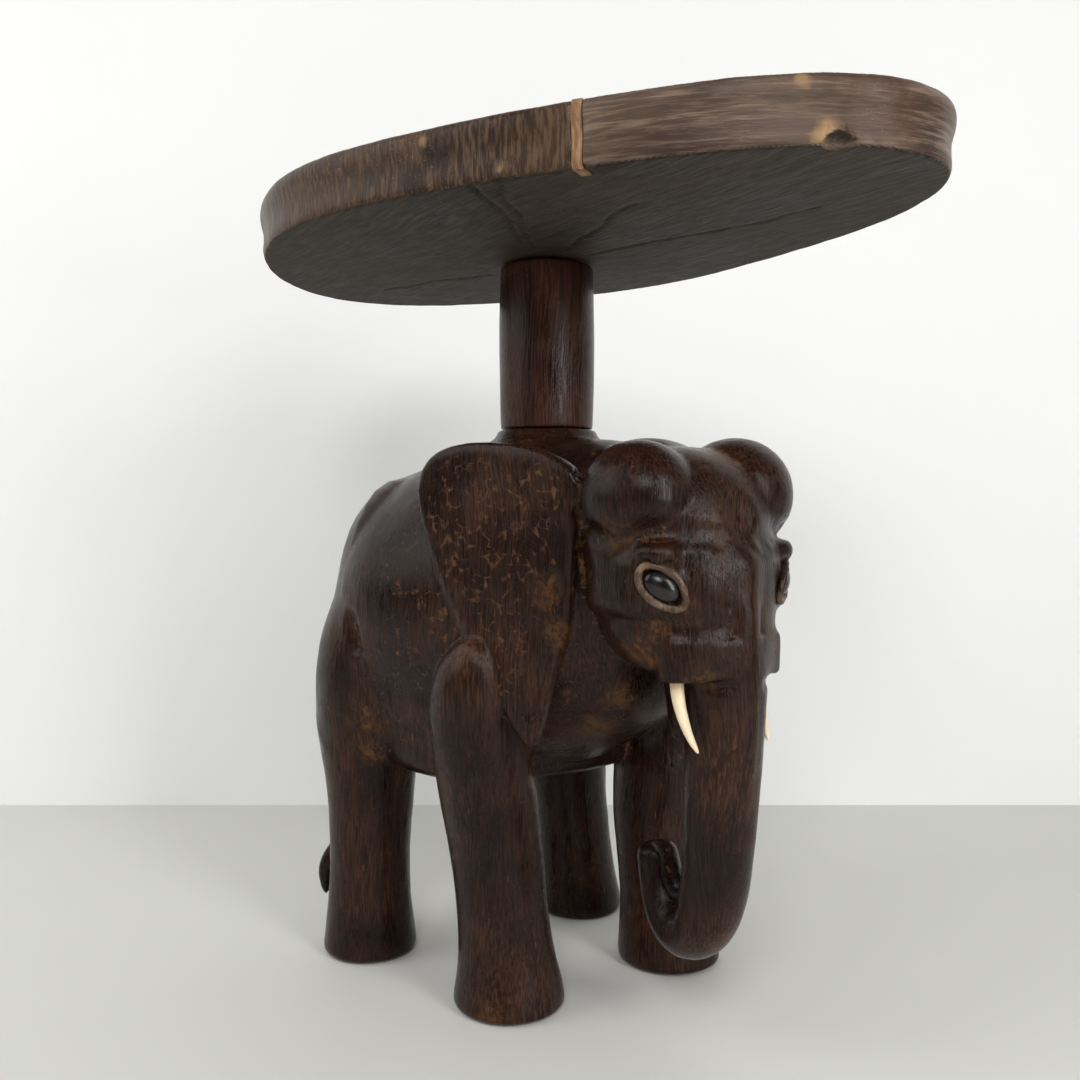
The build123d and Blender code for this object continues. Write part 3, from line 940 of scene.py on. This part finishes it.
def boardMaterial():
    material, tree, place, shader = startMaterial("boardWood")
    normal = addNode(tree, "ShaderNodeNewGeometry").outputs["True Normal"]
    facing = addNode(tree, "ShaderNodeSeparateXYZ", {0: normal})
    spot = addNode(tree, "ShaderNodeSeparateXYZ", {0: place})
    under = spread(tree, facing.outputs["Z"], -0.45, -0.75)
    above = spread(tree, facing.outputs["Z"], 0.45, 0.75)
    flat = mathNode(tree, "MAXIMUM", under, above)
    # the rim: upright figure behind the filler, long level streaks before it
    upright = grainNode(tree, place, (560, 560, 70), 0.01, 16.0)
    level = grainNode(tree, place, (42, 42, 620), 0.008, 9.0)
    beyond = spread(tree, spot.outputs["X"], postX + (fillerX - 1) * mm, postX + (fillerX + 1) * mm)
    cloud = noiseNode(tree, place, 14.0).outputs[0]
    behind = blend(tree, spread(tree, cloud, 0.3, 0.7), (0.018, 0.0085, 0.005), (0.054, 0.028, 0.015))
    behind = blend(tree, times(tree, upright.outputs["Streak"], 0.75), behind, (0.125, 0.07, 0.036))
    before = blend(tree, spread(tree, cloud, 0.3, 0.7), (0.048, 0.030, 0.022), (0.135, 0.092, 0.068))
    before = blend(tree, times(tree, level.outputs["Streak"], 0.55), before, (0.27, 0.185, 0.13))
    before = blend(tree, times(tree, level.outputs["Figure"], 0.45), before, (0.04, 0.021, 0.014))
    rim = blend(tree, beyond, behind, before)
    for centres, tint in rimPlaces:
        rim = blend(tree, spots(tree, place, centres), rim, tint)
    # the underside is darker, greyer and duller than the top
    lengthwise = grainNode(tree, place, (36, 420, 420), 0.02, 9.0)
    below = blend(tree, spread(tree, cloud, 0.3, 0.7), (0.012, 0.0088, 0.006), (0.036, 0.027, 0.0185))
    below = blend(tree, times(tree, lengthwise.outputs["Streak"], 0.6), below, (0.075, 0.058, 0.041))
    below = blend(tree, times(tree, lengthwise.outputs["Pore"], 0.7), below, (0.012, 0.008, 0.006))
    # painted shadow: the underside is tinted darker round the post and towards the front right, where the
    # post shades it
    paintedPostShadow = spots(tree, place, [((0, 0, 428.5), 62, 0.6), ((30, -30, 428.5), 40, 0.5)])
    below = blend(tree, paintedPostShadow, below, (0.035, 0.017, 0.010))
    top = blend(tree, spread(tree, cloud, 0.3, 0.7), (0.026, 0.012, 0.008), (0.075, 0.036, 0.020))
    top = blend(tree, times(tree, lengthwise.outputs["Streak"], 0.6), top, (0.13, 0.066, 0.036))
    colour = blend(tree, under, rim, below)
    colour = blend(tree, above, colour, top)
    nicks = useGroup(tree, fineScratches, {"Vector": place, "Amount": 0.45})
    colour = blend(tree, times(tree, nicks.outputs["Scratch"], 0.35), colour, (0.4, 0.28, 0.18))
    tree.links.new(colour, shader.inputs["Base Color"])
    rough = mathNode(tree, "MULTIPLY_ADD", under, 0.32, spread(tree, cloud, 0.3, 0.7, 0.30, 0.42))
    tree.links.new(rough, shader.inputs["Roughness"])
    ridges = noiseNode(tree, place, 120.0, 4.0).outputs[0]
    rimStreak = {"Factor": beyond, 2: upright.outputs["Streak"], 3: level.outputs["Streak"]}
    around = times(tree, addNode(tree, "ShaderNodeMix", rimStreak).outputs[0],
                   mathNode(tree, "SUBTRACT", 1.0, flat))
    streaks = mathNode(tree, "MAXIMUM", around, times(tree, lengthwise.outputs["Streak"], flat))
    relief = mathNode(tree, "MULTIPLY_ADD", ridges, under, times(tree, streaks, 0.4))
    height = mathNode(tree, "SUBTRACT", relief, times(tree, nicks.outputs["Scratch"], 0.5))
    tree.links.new(bumpFrom(tree, height, 0.3), shader.inputs["Normal"])
    shader.inputs["Specular IOR Level"].default_value = 0.22
    return material


def plainWood(name, first, second, along, rough):
    material, tree, place, shader = startMaterial(name)
    grain = grainNode(tree, place, along, 0.004, 40.0)
    colour = blend(tree, grain.outputs["Streak"], first, second)
    pore = [share * 0.4 for share in first]
    colour = blend(tree, times(tree, grain.outputs["Pore"], 0.5), colour, pore)
    tree.links.new(colour, shader.inputs["Base Color"])
    uneven = spread(tree, grain.outputs["Figure"], 0, 1, rough, rough + 0.12)
    tree.links.new(uneven, shader.inputs["Roughness"])
    tree.links.new(bumpFrom(tree, grain.outputs["Streak"], 0.12), shader.inputs["Normal"])
    return material


def beadMaterial():
    material, tree, place, shader = startMaterial("eyeBlack")
    cloud = noiseNode(tree, place, 220.0, 3.0).outputs[0]
    colour = blend(tree, spread(tree, cloud, 0.35, 0.65), (0.004, 0.0035, 0.0035), (0.009, 0.0075, 0.0075))
    tree.links.new(colour, shader.inputs["Base Color"])
    tree.links.new(spread(tree, cloud, 0.3, 0.7, 0.16, 0.3), shader.inputs["Roughness"])
    tree.links.new(bumpFrom(tree, cloud, 0.015), shader.inputs["Normal"])
    return material


def tuskMaterial():
    material, tree, place, shader = startMaterial("paleTusk")
    grain = grainNode(tree, place, (700, 700, 60), 0.002, 60.0)
    height = addNode(tree, "ShaderNodeSeparateXYZ", {0: place}).outputs["Z"]
    colour = blend(tree, times(tree, grain.outputs["Streak"], 0.5), (0.84, 0.71, 0.5), (0.70, 0.54, 0.34))
    colour = blend(tree, spread(tree, height, 0.186, 0.199, 0.0, 0.75), colour, (0.55, 0.36, 0.18))
    tree.links.new(colour, shader.inputs["Base Color"])
    tree.links.new(spread(tree, grain.outputs["Figure"], 0, 1, 0.3, 0.42), shader.inputs["Roughness"])
    tree.links.new(bumpFrom(tree, grain.outputs["Streak"], 0.05), shader.inputs["Normal"])
    shader.inputs["Subsurface Weight"].default_value = 0.08
    shader.inputs["Subsurface Radius"].default_value = (0.004, 0.003, 0.002)
    return material


fillerLow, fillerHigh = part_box("rim_filler")
fillerX = ((fillerLow.x + fillerHigh.x) / 2 - postX) / mm
boardWood = boardMaterial()
eyeBlack = beadMaterial()
paleTusk = tuskMaterial()
fillerWood = plainWood("fillerWood", (0.17, 0.085, 0.035), (0.36, 0.2, 0.095), (500, 500, 60), 0.5)
dowelWood = plainWood("dowelWood", (0.28, 0.17, 0.09), (0.42, 0.27, 0.15), (400, 400, 30), 0.55)
print("materials ready")

finishPiece(carving, "elephant_carving", carvedWood)
finishPiece(lidRight, "elephant_carving", lidWood)
finishPiece(lidLeft, "elephant_carving", lidWood)
finishPiece(beadRight, "eye_right", eyeBlack)
finishPiece(beadLeft, "eye_left", eyeBlack)
finishPiece(tuskRight, "tusk_right", paleTusk)
finishPiece(tuskLeft, "tusk_left", paleTusk)
finishPiece(post, "post", postWood)
finishPiece(board, "top_board", boardWood)

nodeMaterials = {
    "elephant_carving": carvedWood, "post": postWood, "top_board": boardWood, "rim_filler": fillerWood,
    "base_dowel": dowelWood, "top_dowel": dowelWood, "tusk_right": paleTusk, "tusk_left": paleTusk,
    "eye_right": eyeBlack, "eye_left": eyeBlack,
}
for node, material in nodeMaterials.items():
    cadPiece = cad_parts[node]
    cadPiece.data.materials.clear()
    cadPiece.data.materials.append(material)


def stagePlane(name, size, location, turn, colour, patches):
    deselect()
    bpy.ops.mesh.primitive_plane_add(size=size, location=location)
    piece = bpy.context.object
    piece.name = name
    piece.rotation_euler = turn
    settle(piece)
    material, tree, place, shader = startMaterial(name + "Paint")
    cloud = noiseNode(tree, place, 3.0).outputs[0]
    shade = blend(tree, spread(tree, cloud, 0.3, 0.7), colour, [share * patches for share in colour])
    tree.links.new(shade, shader.inputs["Base Color"])
    shader.inputs["Roughness"].default_value = 0.55
    shader.inputs["Specular IOR Level"].default_value = 0.2
    piece.data.materials.append(material)
    return piece


def areaLamp(name, place, target, size, power):
    bpy.ops.object.light_add(type="AREA", location=place)
    lamp = bpy.context.object
    lamp.name = name
    lamp.data.shape = "RECTANGLE"
    lamp.data.size, lamp.data.size_y = size
    lamp.data.energy = power
    lamp.rotation_euler = (target - place).to_track_quat("-Z", "Y").to_euler()
    return lamp


def buildStudio():
    ground = Vector((-0.827, 0.562, 0)).normalized()
    stagePlane("floor", 8, at(0, 0, 0), (0, 0, 0), (0.70, 0.695, 0.66), 0.97)
    wallPlace = at(540, -372, 0) + ground * 0.981
    stagePlane("wall", 8, wallPlace, (math.radians(90), 0, math.atan2(ground.y, ground.x) + math.radians(90)),
               (0.93, 0.935, 0.92), 0.98)
    world = bpy.context.scene.world or bpy.data.worlds.new("studio")
    bpy.context.scene.world = world
    world.use_nodes = True
    sky = world.node_tree
    path = sky.nodes.new("ShaderNodeLightPath")
    strength = spread(sky, path.outputs["Is Glossy Ray"], 0, 1, 0.46, 0.07)
    sky.nodes["Background"].inputs["Color"].default_value = (1, 1, 1, 1)
    sky.links.new(strength, sky.nodes["Background"].inputs["Strength"])
    aim = at(40, -40, 250)
    areaLamp("windowLeft", at(-350, -1100, 900), aim, (0.8, 1.0), 5)
    areaLamp("windowFront", at(1000, -850, 1000), aim, (0.35, 0.4), 6)
    areaLamp("windowRight", at(1250, 60, 620), aim, (0.35, 0.9), 8)
    bpy.ops.object.camera_add(location=at(540, -372, 285))
    camera = bpy.context.object
    look = ground * math.cos(math.radians(2.16))
    look.z = -math.sin(math.radians(2.16))
    camera.rotation_euler = look.to_track_quat("-Z", "Y").to_euler()
    camera.data.sensor_width = 36
    camera.data.lens = 35.33
    camera.data.clip_start = 0.01
    bpy.context.scene.camera = camera
    bpy.context.scene.view_settings.view_transform = "Standard"


buildStudio()
